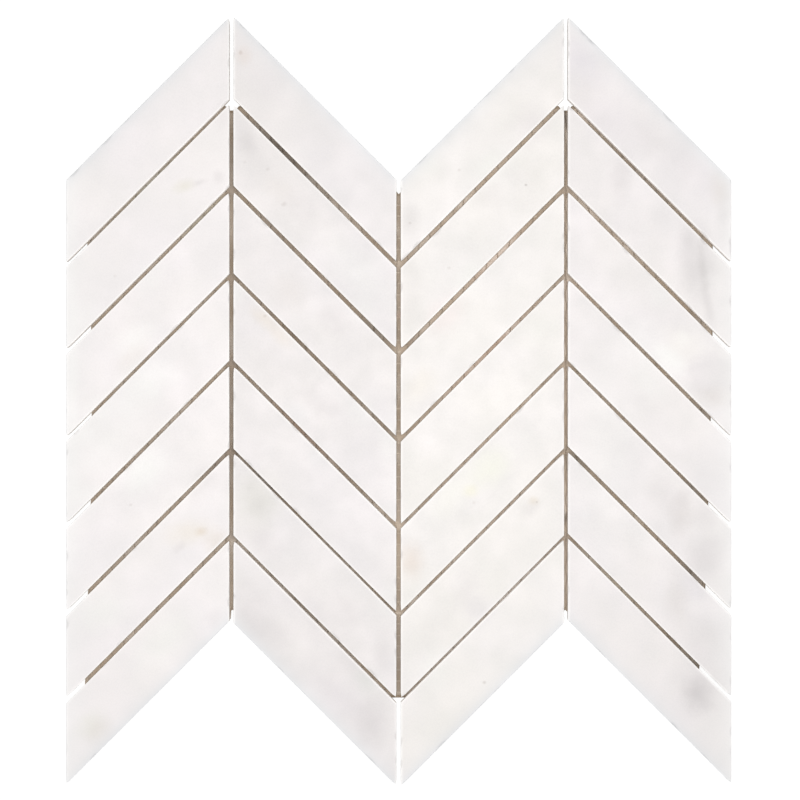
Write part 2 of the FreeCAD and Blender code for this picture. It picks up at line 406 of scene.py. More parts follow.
class BackingSettings(bpy.types.PropertyGroup):
    """Sizes and colours of the glass-fibre mesh and its resin."""

    opening: bpy.props.FloatProperty(
        name="Yarn spacing", description="From one yarn of the mesh to the next",
        default=5.0 * MM, unit="LENGTH")
    weft_width: bpy.props.FloatProperty(
        name="Weft width", description="Width of the flat yarns that run across",
        default=1.1 * MM, unit="LENGTH")
    warp_width: bpy.props.FloatProperty(
        name="Warp width", description="Width of each of the two twisted yarns that run up",
        default=0.55 * MM, unit="LENGTH")
    fray: bpy.props.FloatProperty(
        name="Fray", description="How far the cut ends of the yarns stay back from the edge of the resin",
        default=0.2 * MM, unit="LENGTH")
    side_reach: bpy.props.FloatProperty(
        name="Side reach", description="How far in the resin's grid bends to follow the side cuts",
        default=25 * MM, unit="LENGTH")
    yarn: bpy.props.StringProperty(
        name="Yarn colour", description="Colour of the coated glass fibre", default="#D8CDBE")
    resin: bpy.props.StringProperty(
        name="Resin colour", description="Colour of the set resin between the yarns", default="#B9A893")


class StageSettings(bpy.types.PropertyGroup):
    """Camera and light."""

    distance: bpy.props.FloatProperty(
        name="Camera height", description="From the polished face up to the camera",
        default=2.2, unit="LENGTH")
    view_width: bpy.props.FloatProperty(
        name="View width", description="Width of the picture at the polished face",
        default=351.5 * MM, unit="LENGTH")
    camera_x: bpy.props.FloatProperty(
        name="Camera X", description="Camera to the right of the sheet's middle",
        default=0.55 * MM, unit="LENGTH")
    camera_y: bpy.props.FloatProperty(
        name="Camera Y", description="Camera above the sheet's middle",
        default=0.63 * MM, unit="LENGTH")
    sky: bpy.props.FloatProperty(
        name="Sky", description="Strength of the even light from all round", default=0.42)
    lamp: bpy.props.FloatProperty(
        name="Lamp", description="Power of the soft lamp overhead", default=13.2, unit="POWER")
    lamp_colour: bpy.props.StringProperty(
        name="Lamp colour", description="Colour of the soft lamp's light", default="#FFFDFB")
    lamp_length: bpy.props.FloatProperty(
        name="Lamp length", description="Length of the oval soft lamp", default=0.64, unit="LENGTH")
    lamp_width: bpy.props.FloatProperty(
        name="Lamp width", description="Width of the oval soft lamp", default=0.42, unit="LENGTH")
    lamp_turn: bpy.props.FloatProperty(
        name="Lamp turn", description="The long way of the lamp, from X, lies along the rising joints",
        default=math.radians(45), unit="ROTATION")
    lamp_height: bpy.props.FloatProperty(
        name="Lamp height", description="From the floor up to the lamp, which the camera doesn't see",
        default=1.5, unit="LENGTH")
    lamp_x: bpy.props.FloatProperty(
        name="Lamp X", description="Lamp to the right of the sheet's middle", default=0.02, unit="LENGTH")
    lamp_y: bpy.props.FloatProperty(
        name="Lamp Y", description="Lamp above the sheet's middle", default=0.02, unit="LENGTH")


# Small helpers

def linear(colour):
    """An sRGB hex colour as linear red, green, blue and alpha."""
    parts = [int(colour[start:start + 2], 16) / 255 for start in (1, 3, 5)]
    return [part / 12.92 if part <= 0.04045 else ((part + 0.055) / 1.055) ** 2.4 for part in parts] + [1.0]


def add(tree, kind, inputs=None, ramp=None, **settings):
    """Adds one node: its own settings, its inputs as values or links, and the stops of a ramp."""
    node = tree.nodes.new(kind)
    for name, value in settings.items():
        setattr(node, name, value)
    for socket, value in (inputs or {}).items():
        if isinstance(value, bpy.types.NodeSocket):
            tree.links.new(value, node.inputs[socket])
        else:
            node.inputs[socket].default_value = value
    for index, (place, colour) in enumerate(ramp or ()):
        stops = node.color_ramp.elements
        stop = stops[index] if index < 2 else stops.new(place)
        stop.position = place
        stop.color = colour
    return node


def mix(tree, factor, first, second, blend="MIX"):
    """The colour that lies between two others."""
    node = add(tree, "ShaderNodeMix", {0: factor, 6: first, 7: second}, data_type="RGBA", blend_type=blend)
    return node.outputs[2]


def new_material(name):
    """An empty material and its tree of nodes."""
    material = bpy.data.materials.new(name)
    material.use_nodes = True
    material.node_tree.nodes.clear()
    return material, material.node_tree


def new_piece(name, points, faces, replaced):
    """A mesh object in the row frame that rides on the sheet and stands for some of its solids."""
    mesh = bpy.data.meshes.new(name)
    mesh.from_pydata(points, [], faces)
    mesh.update()
    piece = bpy.data.objects.new(name, mesh)
    bpy.context.scene.collection.objects.link(piece)
    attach(piece, "root")
    if replaced:
        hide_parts(*replaced)
    return piece


def grid_faces(rows, columns, first=0):
    """Corner numbers of the faces of a grid whose points are numbered row by row."""
    corner = first + np.arange(rows - 1)[:, None] * columns + np.arange(columns - 1)[None, :]
    return np.stack([corner, corner + columns, corner + columns + 1, corner + 1], -1).reshape(-1, 4)


def rim_loop(rows, columns):
    """Numbers of the points round a grid: along its low edge, up its right end, back and down."""
    number = np.arange(rows * columns).reshape(rows, columns)
    return np.concatenate([number[:, 0], number[-1, 1:], number[-2::-1, -1], number[0, -2:0:-1]])


# Marble pieces

def read_stone(node):
    """Where a piece of marble lies, from the corners of its solid and the trims of its two ends."""
    low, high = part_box(node)
    column, row = column_and_row(node)
    rising = column % 2 == 1
    trim_left, trim_right = (trim * MM for trim in END_TRIMS[column - 1])
    width = high.x - low.x
    mitre = high.y - low.y - width * SLOPE
    foot = low.y + (trim_left if rising else trim_right) * SLOPE
    width -= trim_left + trim_right
    return Stone(node, column, row, low.x + trim_left, foot, low.z, width, mitre, high.z, rising)


def spaced(length, rim, step):
    """Places along a line: close together at both ends, as rim gives them, and even between."""
    rim = np.asarray(rim)
    count = int(round((length - 2 * rim[-1]) / step)) + 1
    middle = np.linspace(rim[-1], length - rim[-1], count)
    return np.concatenate([rim[:-1], middle, length - rim[-2::-1]])


def edge_radius(look, dice, places):
    """Radius of an eased edge at places along it.

    radius = arris * (1 + a slow wander, the mean of three sines) + chips, where each chip adds
    depth * (1 - (distance / half width) squared) within its half width.
    """
    waves = dice.uniform(5, 40, 3) * MM
    phases = dice.uniform(0, 2 * np.pi, 3)
    wander = np.sin(2 * np.pi * places[:, None] / waves + phases).mean(1)
    radius = look.arris * (1 + look.wander * wander)
    middles = dice.uniform(0, places[-1], look.chips)
    halves = dice.uniform(0.8, 2.4, look.chips) * MM
    depths = dice.uniform(0.1, 0.75, look.chips) ** 2 * look.chip_depth
    near = np.clip(1 - ((places[:, None] - middles) / halves) ** 2, 0, 1)
    return radius + (near * depths).sum(1)


def rounded(distance, radius):
    """How far a quarter-round edge has dropped at a distance in from its rim: r - sqrt(r^2 - (r - d)^2)."""
    inside = np.clip(radius - distance, 0, radius)
    return radius - np.sqrt(radius ** 2 - inside ** 2)


def blunt_tips(x, y, tips, losses, reach):
    """Pulls the sharp corners in along their bisectors.

    A point at a distance q < reach from a tip, measured along the bisector, moves in by
    loss * (1 - q / reach) squared, so the tip ends in a small round nose.
    """
    for (tip_x, tip_y, into_x, into_y), loss in zip(tips, losses):
        along = (x - tip_x) * into_x + (y - tip_y) * into_y
        move = loss * np.clip(1 - along / reach, 0, 1) ** 2
        x = x + move * into_x
        y = y + move * into_y
    return x, y


def sharp_tips(stone):
    """The two 45 degree corners of a piece and the way that each bisector points in."""
    half_corner = math.radians(SHARP_CORNER / 2)
    side, up = math.sin(half_corner), math.cos(half_corner)
    low_x = stone.left if stone.rising else stone.left + stone.width
    high_x = stone.left + stone.width if stone.rising else stone.left
    high_y = stone.low + stone.width * SLOPE + stone.mitre
    if not stone.rising:
        side = -side
    return (low_x, stone.low, side, up), (high_x, high_y, -side, -up)


def cut_stone(stone, look):
    """A mitred marble piece as one closed surface.

    The polished face is a sheared grid: x = left + s and y = low + s * slope + t, or with the slope
    turned round in a falling column. Its height is the face less the drop of the nearest eased edge.
    Walls hang from its rim, and flat strips close the back.
    """
    dice = np.random.default_rng(100 * stone.column + stone.row)
    rim = np.array(RIM_RINGS) * MM
    s_line = spaced(stone.width, rim, look.grid)
    t_line = spaced(stone.mitre, rim / SQUARE_ACROSS, look.grid)
    s, t = np.meshgrid(s_line, t_line, indexing="ij")
    climb = s if stone.rising else stone.width - s
    x = stone.left + s
    y = stone.low + climb * SLOPE + t

    drops = [
        rounded(t * SQUARE_ACROSS, edge_radius(look, dice, s_line)[:, None]),
        rounded((stone.mitre - t) * SQUARE_ACROSS, edge_radius(look, dice, s_line)[:, None]),
        rounded(s, edge_radius(look, dice, t_line)[None, :]),
        rounded(stone.width - s, edge_radius(look, dice, t_line)[None, :]),
    ]
    lean_s, lean_t = dice.uniform(0, look.lippage / 4, 2)
    sunk = dice.uniform(0, look.lippage / 4)
    z = stone.top - sunk - lean_s * s / stone.width - lean_t * t / stone.mitre - np.max(drops, 0)
    losses = dice.uniform(0.3, 1.0, 2) * look.blunting
    x, y = blunt_tips(x, y, sharp_tips(stone), losses, look.blunt_reach)

    rows, columns = x.shape
    loop = rim_loop(rows, columns)
    face = np.stack([x, y, z], -1).reshape(-1, 3)
    edge = face[loop]
    depth = np.array(WALL_RINGS)[:, None]
    wall_z = edge[:, 2] + (stone.bottom - edge[:, 2]) * depth
    wall_x, wall_y = np.broadcast_to(edge[:, 0], wall_z.shape), np.broadcast_to(edge[:, 1], wall_z.shape)
    points = np.concatenate([face, np.stack([wall_x, wall_y, wall_z], -1).reshape(-1, 3)])

    wall_numbers = rows * columns + np.arange(wall_z.size).reshape(wall_z.shape)
    rings = np.concatenate([loop[None, :], wall_numbers])
    after = np.roll(rings, -1, 1)
    walls = np.stack([rings[1:], after[1:], after[:-1], rings[:-1]], -1).reshape(-1, 4)
    foot = rings[-1]
    low_side = foot[:rows]
    high_side = foot[rows + columns - 2:2 * rows + columns - 2][::-1]
    strips = np.stack([low_side[1:-2], high_side[1:-2], high_side[2:-1], low_side[2:-1]], -1)
    left_end = [foot[0], *foot[:2 * rows + columns - 4:-1], high_side[1], low_side[1]]
    right_end = [low_side[-2], high_side[-2], *foot[rows + columns - 2:rows - 2:-1]]
    top = grid_faces(rows, columns)
    faces = top.tolist() + walls.tolist() + strips.tolist() + [left_end, right_end]

    upright = np.repeat([0.0, 1.0, 0.0, 1.0], [rows, columns - 1, rows - 1, columns - 2])
    glow = ((1 - depth) * (1 - look.upright_shade * upright)).ravel()
    # Strengths of the painted light and shade along the edges, and of the glow down the walls
    tints = {name: np.concatenate([tint.ravel(), np.zeros(glow.size)])
             for name, tint in edge_light_and_shade(stone, look, s, t).items()}
    tints["glow"] = np.concatenate([np.ones(x.size), glow])
    return points, faces, len(top), tints


def edge_light_and_shade(stone, look, s, t):
    """How strongly the painted light and shade of the edges show at the points of a polished face, from 0
    to 1.

    The bright and the lit line fade evenly, 1 - distance / reach, and the rim and side colours as
    e to the power of -distance / reach, each with the distance to the nearest edge of its kind.
    """
    edges = (
        # distance to it, whether it is an outer edge of the sheet, and which way it runs
        (t * SQUARE_ACROSS, stone.row == LAST_ROW, "slanted"),
        ((stone.mitre - t) * SQUARE_ACROSS, stone.row == 1, "slanted"),
        (s, stone.column == 1, "upright"),
        (stone.width - s, stone.column == LAST_COLUMN, "upright"),
    )
    never = np.full(s.shape, np.inf)

    def nearest(is_outer, *ways):
        return np.min([never] + [away for away, outer, way in edges
                                 if outer == is_outer and way in ways], 0)

    lit = [away for away, outer, way in edges if way == "slanted"] + [s * look.left_lit]
    # No lit line runs down the right end of a piece in the left half of the sheet
    if stone.column > LAST_COLUMN / 2:
        lit.append(stone.width - s)
    return {
        "arris": np.clip(1 - nearest(False, "slanted", "upright") / look.highlight_width, 0, 1),
        "rim": np.exp(-nearest(True, "slanted") / look.rim_shade_reach),
        "side": np.exp(-nearest(True, "upright") / look.side_reach),
        "lit": np.clip(1 - np.min(lit, 0) / look.lit_edge, 0, 1),
    }


def marble_grain(tree, stone):
    """Coordinates in the block that a piece was sawn from: each piece comes from another place."""
    dice = np.random.default_rng(1000 + 100 * stone.column + stone.row)
    place = add(tree, "ShaderNodeTexCoord").outputs["Object"]
    turned = add(tree, "ShaderNodeMapping", {
        "Vector": place,
        "Location": dice.uniform(-4, 4, 3),
        "Rotation": (0, 0, dice.uniform(0, 2 * math.pi)),
    })
    return place, turned.outputs["Vector"]


def lay_mark(tree, colour, place, wander, mark):
    """One stain or cloud: an ellipse whose outline wanders, laid over the colour.

    A fully soft one has lost about half its strength at its half length and half width, and is gone
    at 1.8 times them.
    """
    local = add(tree, "ShaderNodeMapping", {
        "Vector": place,
        "Location": (mark.x * MM, mark.y * MM, 0),
        "Rotation": (0, 0, math.radians(mark.turn)),
        "Scale": (mark.long * MM, mark.wide * MM, 1),
    }, vector_type="TEXTURE")
    shifted = add(tree, "ShaderNodeVectorMath", {
        0: wander, 1: (1.0, 1.0, 0.0), 2: local.outputs[0]}, operation="MULTIPLY_ADD")
    away = add(tree, "ShaderNodeVectorMath", {0: shifted.outputs[0]}, operation="LENGTH")
    amount = add(tree, "ShaderNodeMapRange", {
        "Value": away.outputs["Value"], "From Min": 1 - mark.soft, "From Max": 1 + FADE * mark.soft,
        "To Min": mark.strength, "To Max": 0.0}, interpolation_type="SMOOTHSTEP")
    return mix(tree, amount.outputs[0], colour, linear(mark.colour))


def ragged_shift(tree, place, **detail):
    """An uneven shift of up to half a mark, in lumps of about 7 mm, that makes its outline wander."""
    lumps = add(tree, "ShaderNodeTexNoise", {"Vector": place, "Scale": 1 / (7 * MM), **detail})
    shift = add(tree, "ShaderNodeVectorMath", {
        0: lumps.outputs["Color"], 1: (-0.5, -0.5, -0.5)}, operation="ADD")
    return shift.outputs[0]


def polished_marble(stone, look):
    """White dolomitic marble, gang-sawn and honed to a soft polish.

    The eye sees a milky white with faint lilac and cream clouds, soft grey and tan stains, a few
    specks, sugary crystals about 0.7 mm across and a satin sheen.
    """
    material, tree = new_material("honed_marble_col{}_row{}".format(stone.column, stone.row))
    place, block = marble_grain(tree, stone)
    cloud = add(tree, "ShaderNodeTexNoise", {
        "Vector": block, "Scale": 1 / (40 * MM), "Detail": 3.0, "Roughness": 0.45})
    clouds = add(tree, "ShaderNodeValToRGB", {"Fac": cloud.outputs["Fac"]}, ramp=(
        (0.36, linear(look.cool)), (0.64, linear(look.warm)), (0.5, linear(look.body))))
    mottle = add(tree, "ShaderNodeTexNoise", {
        "Vector": block, "Scale": 1 / (16 * MM), "Detail": 4.0, "Roughness": 0.5})
    blush = add(tree, "ShaderNodeValToRGB", {"Fac": mottle.outputs["Fac"]}, ramp=(
        (0.35, linear("#FFFBFC")), (0.65, linear("#FCFFFD"))))
    colour = mix(tree, 0.2, clouds.outputs[0], blush.outputs[0], "MULTIPLY")
    wander = ragged_shift(tree, place, Detail=5.0, Roughness=0.6)
    for mark in MARKS:
        if reaches(stone, mark):
            colour = lay_mark(tree, colour, place, wander, mark)
    crystals = add(tree, "ShaderNodeTexVoronoi", {"Vector": block, "Scale": 1 / (0.7 * MM)})
    sugar = add(tree, "ShaderNodeValToRGB", {"Fac": crystals.outputs["Distance"]}, ramp=(
        (0.0, linear("#FFFFFF")), (1.0, linear("#F9F9FA"))))
    colour = mix(tree, 1.0, colour, sugar.outputs[0], "MULTIPLY")
    # Painted shade on the falling columns, with each column's own tone
    colour = mix(tree, 1.0, colour, linear(look.tints.split()[stone.column - 1]), "MULTIPLY")
    # Painted shade near the free slanted edges
    rim = add(tree, "ShaderNodeAttribute", attribute_name="rim")
    colour = mix(tree, rim.outputs["Fac"], colour, linear(look.rim))
    # Painted light near the free upright edges
    side = add(tree, "ShaderNodeAttribute", attribute_name="side")
    side_light = add(tree, "ShaderNodeMath", {
        0: side.outputs["Fac"], 1: look.side_light_strength}, operation="MULTIPLY")
    colour = mix(tree, side_light.outputs[0], colour, linear(look.side))
    # Painted highlight along the jointed edges
    arris = add(tree, "ShaderNodeAttribute", attribute_name="arris")
    colour = mix(tree, arris.outputs["Fac"], colour, linear(look.bright))
    lit = add(tree, "ShaderNodeAttribute", attribute_name="lit")
    light = mix(tree, lit.outputs["Fac"], linear("#000000"), linear(look.lit))
    sheen = add(tree, "ShaderNodeMapRange", {
        "Value": mottle.outputs["Fac"], "From Min": 0.3, "From Max": 0.7, "To Min": 0.38, "To Max": 0.46})
    relief = add(tree, "ShaderNodeBump", {
        "Height": crystals.outputs["Distance"], "Strength": 0.08, "Distance": 0.05 * MM})
    shader = add(tree, "ShaderNodeBsdfPrincipled", {
        "Base Color": colour, "Roughness": sheen.outputs[0], "IOR": 1.55, "Normal": relief.outputs[0],
        "Emission Color": light, "Emission Strength": 1.0})
    add(tree, "ShaderNodeOutputMaterial", {"Surface": shader.outputs[0]})
    return material


def reaches(stone, mark):
    """Whether a mark may touch a piece of marble, given room for its fading and its wandering."""
    margin = max(mark.long, mark.wide) * 2.2 * MM
    x, y = mark.x * MM, mark.y * MM
    if not stone.left - margin < x < stone.left + stone.width + margin:
        return False
    across = min(max(x - stone.left, 0), stone.width)
    climb = across if stone.rising else stone.width - across
    foot = stone.low + climb * SLOPE
    margin_up = margin * 1.4
    return foot - margin_up < y < foot + stone.mitre + margin_up


def sawn_marble(look):
    """The same marble on the sides and back: matt and powdery, and scored by the saw."""
    material, tree = new_material("sawn_marble")
    place = add(tree, "ShaderNodeTexCoord").outputs["Object"]
    cloud = add(tree, "ShaderNodeTexNoise", {"Vector": place, "Scale": 1 / (14 * MM), "Detail": 5.0})
    colour = add(tree, "ShaderNodeValToRGB", {"Fac": cloud.outputs["Fac"]}, ramp=(
        (0.3, linear("#EDEBEA")), (0.7, linear("#F4F2F1"))))
    stretched = add(tree, "ShaderNodeMapping", {"Vector": place, "Scale": (0.35, 0.3, 1.0)})
    score = add(tree, "ShaderNodeTexWave", {
        "Vector": stretched.outputs[0], "Scale": 1 / (6 * MM), "Distortion": 2.5, "Detail": 3.0,
        "Detail Scale": 2.0}, bands_direction="DIAGONAL")
    scored = mix(tree, 0.12, colour.outputs[0], score.outputs["Color"], "MULTIPLY")
    grit = add(tree, "ShaderNodeTexNoise", {"Vector": place, "Scale": 1 / (0.5 * MM), "Detail": 3.0})
    height = add(tree, "ShaderNodeMath", {
        0: score.outputs["Fac"], 1: 0.6, 2: grit.outputs["Fac"]}, operation="MULTIPLY_ADD")
    relief = add(tree, "ShaderNodeBump", {
        "Height": height.outputs[0], "Strength": 0.35, "Distance": 0.08 * MM})
    near_face = add(tree, "ShaderNodeAttribute", attribute_name="glow")
    glow = mix(tree, near_face.outputs["Fac"], linear("#000000"), linear(look.glow))
    shader = add(tree, "ShaderNodeBsdfPrincipled", {
        "Base Color": scored, "Roughness": 0.8, "IOR": 1.55, "Normal": relief.outputs[0],
        "Emission Color": glow, "Emission Strength": 1.0})
    add(tree, "ShaderNodeOutputMaterial", {"Surface": shader.outputs[0]})
    return material


# Backing mesh

def cut_outline():
    """Corners of the outline of the mesh, clockwise as seen from the polished face.

    They are the ends of the edges that only one triangle on the underside of its solid has.
    """
    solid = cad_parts[BACKING_NODE].data
    floor_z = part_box(BACKING_NODE)[0].z
    edges = set()
    for triangle in solid.polygons:
        corners = [solid.vertices[index].co for index in triangle.vertices]
        if max(corner.z for corner in corners) > floor_z + 0.01 * MM:
            continue
        ends = [(round(corner.x, 6), round(corner.y, 6)) for corner in corners]
        for edge in zip(ends, ends[1:] + ends[:1]):
            if edge[::-1] in edges:
                edges.remove(edge[::-1])
            else:
                edges.add(edge)
    after = dict(edges)
    loop = [min(after)]
    while after[loop[-1]] != loop[0]:
        loop.append(after[loop[-1]])
    return np.array(loop)


def crossings(outline, axis, place):
    """Where the line x = place (axis 0) or y = place (axis 1) enters and leaves the outline, in pairs."""
    ahead = np.roll(outline, -1, 0)
    crossed = (outline[:, axis] > place) != (ahead[:, axis] > place)
    near, far = outline[crossed], ahead[crossed]
    share = (place - near[:, axis]) / (far[:, axis] - near[:, axis])
    return np.sort(near[:, 1 - axis] + share * (far[:, 1 - axis] - near[:, 1 - axis])).reshape(-1, 2)


def outline_sides(outline):
    """The upper, right, lower and left side of the outline, each from its lower to its higher end."""
    x, y = outline.T
    turns = [np.argmax(y - 2 * x), np.argmax(y + 2 * x), np.argmin(y - 2 * x), np.argmin(y + 2 * x)]
    loop = np.roll(outline, -turns[0], 0)
    stops = [(turn - turns[0]) % len(loop) for turn in turns] + [len(loop)]
    loop = np.concatenate([loop, loop[:1]])
    upper, right, lower, left = [loop[first:last + 1] for first, last in zip(stops, stops[1:])]
    return upper, right[::-1], lower[::-1], left


def yarn_tube(centre, across, half_width, half_height, sides):
    """A flat yarn: points round an ellipse, carried along a nearly straight line.

    point = centre + across * half width * cos(a) + up * half height * sin(a).
    """
    turn = np.linspace(0, 2 * np.pi, sides, endpoint=False)
    flat = np.cos(turn)[:, None] * half_width * np.asarray(across)
    raised = np.sin(turn)[:, None] * half_height * np.array([0, 0, 1.0])
    return (centre[:, None, :] + (flat + raised)[None, :, :]).reshape(-1, 3)


def tube_faces(count, sides, first):
    """Faces of a tube of count rings, with its two ends closed."""
    ring = first + np.arange(count - 1)[:, None] * sides
    side = np.arange(sides)[None, :]
    after = (side + 1) % sides
    walls = np.stack([ring + side, ring + after, ring + sides + after, ring + sides + side], -1)
    start = list(range(first + sides - 1, first - 1, -1))
    end = list(range(first + (count - 1) * sides, first + count * sides))
    return walls.reshape(-1, 4).tolist() + [start, end]


def join_yarns(name, yarns, across, half_width, half_height, sides):
    """One piece of many yarns of one size, each a closed tube."""
    points, faces = [], []
    first = 0
    for centre in yarns:
        points.append(yarn_tube(centre, across, half_width, half_height, sides))
        faces += tube_faces(len(centre), sides, first)
        first += len(centre) * sides
    piece = new_piece(name, np.concatenate(points), faces, [])
    piece.data.polygons.foreach_set("use_smooth", np.ones(len(faces), bool))
    return piece


def weft_yarns(outline, backing, look, dice):
    """Centre lines of the yarns that run across, from cut edge to cut edge.

    z = middle + ripple * cos(pi * x / spacing): over and under the warp pairs.
    """
    low, high = backing
    middle = (low.z + high.z) / 2
    lines = []
    for level in np.arange(low.y + look.opening / 2, high.y, look.opening):
        phase = dice.uniform(0, 6.3)
        for start, end in crossings(outline, 1, level):
            x = np.linspace(start + look.fray, end - look.fray, 2 + int((end - start) / look.opening * 3))
            y = level + 0.25 * MM * np.sin(x / (37 * MM) + phase)
            z = middle + 0.02 * MM * np.cos(np.pi * x / look.opening)
            lines.append(np.stack([x, y, z], -1))
    return lines


def warp_yarns(outline, backing, look, dice):
    """Centre lines of the twisted pairs that run up, in the way of a leno weave.

    The two yarns of a pair change sides between two wefts, x = place +- apart * cos(pi * y / spacing),
    and one always lies over the weft and the other under it.
    """
    low, high = backing
    middle = (low.z + high.z) / 2
    apart = look.warp_width * 0.55
    lines = []
    for place in np.arange(low.x + look.opening / 2, high.x, look.opening):
        phase = dice.uniform(0, 6.3)
        for start, end in crossings(outline, 0, place):
            y = np.linspace(start + look.fray, end - look.fray, 2 + int((end - start) / look.opening * 4))
            wander = 0.2 * MM * np.sin(y / (41 * MM) + phase)
            swing = np.cos(np.pi * (y - low.y - look.opening / 2) / look.opening)
            for side in (1, -1):
                x = place + wander + side * apart * swing
                lines.append(np.stack([x, y, middle + side * PAIR_LIFT + 0 * y], -1))
    for x, top, bottom in LOOSE_ENDS:
        y = np.linspace(bottom, top, 9) * MM
        lines.append(np.stack([x * MM + 0.1 * MM * np.sin(y / MM), y, middle + 0 * y], -1))
    return lines


def resin_sheet(outline, backing, look):
    """The set resin between the yarns, as a closed thin sheet in the outline of the mesh.

    y = lower(x) + v * (upper(x) - lower(x)), and near the two sides x bends to follow them. The
    sheet sags a little in each opening: z = middle + sag * sin(pi * x / spacing) * sin(pi * y / spacing).
    """
    low, high = backing
    upper, right, lower, left = outline_sides(outline)
    ends = (upper[0, 0], upper[-1, 0])
    kinks = np.concatenate([upper[:, 0], lower[:, 0]])
    kinks = kinks[(kinks > ends[0]) & (kinks < ends[1])]
    even = np.arange(ends[0], ends[1], look.opening / 3)
    even = even[np.abs(even[:, None] - kinks).min(1) > 0.4 * MM]
    x_line = np.unique(np.concatenate([even, kinks, ends]))
    start_x, v = np.meshgrid(x_line, np.linspace(0, 1, FILM_LINES), indexing="ij")
    near_left = np.clip(1 - (start_x - ends[0]) / look.side_reach, 0, 1)
    near_right = np.clip(1 - (ends[1] - start_x) / look.side_reach, 0, 1)
    x, y = start_x, start_x * 0
    # Near the sides x and y depend on each other, so they are worked out in turn until they settle
    for _ in range(6):
        y_low = np.interp(x, lower[:, 0], lower[:, 1])
        y = y_low + v * (np.interp(x, upper[:, 0], upper[:, 1]) - y_low)
        x = start_x + near_left * (np.interp(y, left[:, 1], left[:, 0]) - ends[0])
        x = x + near_right * (np.interp(y, right[:, 1], right[:, 0]) - ends[1])
    middle = (low.z + high.z) / 2 + FILM_LIFT
    ripple = np.abs(np.sin(np.pi * (x - low.x) / look.opening) * np.sin(np.pi * (y - low.y) / look.opening))
    sag = FILM_SAG * ripple
    rows, columns = x.shape
    top = np.stack([x, y, middle + FILM_HALF - sag], -1).reshape(-1, 3)
    under = np.stack([x, y, middle - FILM_HALF + sag], -1).reshape(-1, 3)
    count = rows * columns
    loop = rim_loop(rows, columns)
    after = np.roll(loop, -1)
    rim = np.stack([loop + count, after + count, after, loop], -1)
    upper_faces = grid_faces(rows, columns)
    under_faces = grid_faces(rows, columns, count)[:, ::-1]
    faces = np.concatenate([upper_faces, under_faces, rim])
    return np.concatenate([top, under]), faces.tolist()


def patched_and_shaded(tree, place, colour):
    """The darker and lighter patches, and the painted shade where the pieces meet, laid over a colour of
    the mesh.
    """
    wander = ragged_shift(tree, place, Detail=3.0)
    for patch in MESH_PATCHES_AND_SHADE:
        colour = lay_mark(tree, colour, place, wander, patch)
    return colour


def coated_yarn(look):
    """Glass fibre in a styrene coating, as mosaic mesh is sold: pale and slightly glossy threads."""
    material, tree = new_material("coated_glass_yarn")
    place = add(tree, "ShaderNodeTexCoord").outputs["Object"]
    fibre = add(tree, "ShaderNodeTexNoise", {"Vector": place, "Scale": 1 / (0.25 * MM), "Detail": 3.0})
    colour = mix(tree, fibre.outputs["Fac"], linear(look.yarn), linear(look.resin))
    # Adds the darker and lighter patches, and the painted shade where the pieces meet
    colour = patched_and_shaded(tree, place, colour)
    relief = add(tree, "ShaderNodeBump", {
        "Height": fibre.outputs["Fac"], "Strength": 0.5, "Distance": 0.05 * MM})
    shader = add(tree, "ShaderNodeBsdfPrincipled", {
        "Base Color": colour, "Roughness": 0.5, "IOR": 1.52, "Normal": relief.outputs[0]})
    add(tree, "ShaderNodeOutputMaterial", {"Surface": shader.outputs[0]})
    return material


def set_resin(look):
    """Unfilled polyester resin, rolled on and set: an uneven tan skin with dull and shiny patches."""
    material, tree = new_material("set_polyester_resin")
    place = add(tree, "ShaderNodeTexCoord").outputs["Object"]
    patch = add(tree, "ShaderNodeTexNoise", {"Vector": place, "Scale": 1 / (18 * MM), "Detail": 5.0})
    colour = add(tree, "ShaderNodeValToRGB", {"Fac": patch.outputs["Fac"]}, ramp=(
        (0.3, linear("#A69580")), (0.7, linear(look.resin))))
    sheen = add(tree, "ShaderNodeMapRange", {
        "Value": patch.outputs["Fac"], "From Min": 0.35, "From Max": 0.65, "To Min": 0.35, "To Max": 0.6})
    # Adds the darker and lighter patches, and the painted shade where the pieces meet
    shader = add(tree, "ShaderNodeBsdfPrincipled", {
        "Base Color": patched_and_shaded(tree, place, colour.outputs[0]), "Roughness": sheen.outputs[0], "IOR": 1.55})
    add(tree, "ShaderNodeOutputMaterial", {"Surface": shader.outputs[0]})
    return material


# Stage

def white_for_sight(tree, dark, white):
    """White to the camera and in reflections, and the other shader to light that falls on the object."""
    path = add(tree, "ShaderNodeLightPath")
    seen = add(tree, "ShaderNodeMath", {
        0: path.outputs["Is Camera Ray"], 1: path.outputs["Is Glossy Ray"]}, operation="MAXIMUM")
    shown = add(tree, "ShaderNodeMath", {
        0: seen.outputs[0], 1: path.outputs["Is Transmission Ray"]}, operation="MAXIMUM")
    return add(tree, "ShaderNodeMixShader", {0: shown.outputs[0], 1: dark, 2: white}).outputs[0]


def floor_material():
    """White studio board: it glows white where it is seen and still keeps a soft shadow."""
    material, tree = new_material("white_studio_board")
    grain = add(tree, "ShaderNodeTexNoise", {
        "Vector": add(tree, "ShaderNodeTexCoord").outputs["Object"], "Scale": 1 / (2.5 * MM)})
    shade = add(tree, "ShaderNodeMapRange", {"Value": grain.outputs["Fac"], "To Min": 0.24, "To Max": 0.26})
    matt = add(tree, "ShaderNodeBsdfDiffuse", {"Color": shade.outputs[0]})
    glow = add(tree, "ShaderNodeEmission", {"Strength": 0.87})
    seen = add(tree, "ShaderNodeAddShader", {0: matt.outputs[0], 1: glow.outputs[0]})
    board = add(tree, "ShaderNodeBsdfDiffuse", {"Color": (0.8, 0.8, 0.8, 1.0)})
    surface = white_for_sight(tree, board.outputs[0], seen.outputs[0])
    add(tree, "ShaderNodeOutputMaterial", {"Surface": surface})
    return material


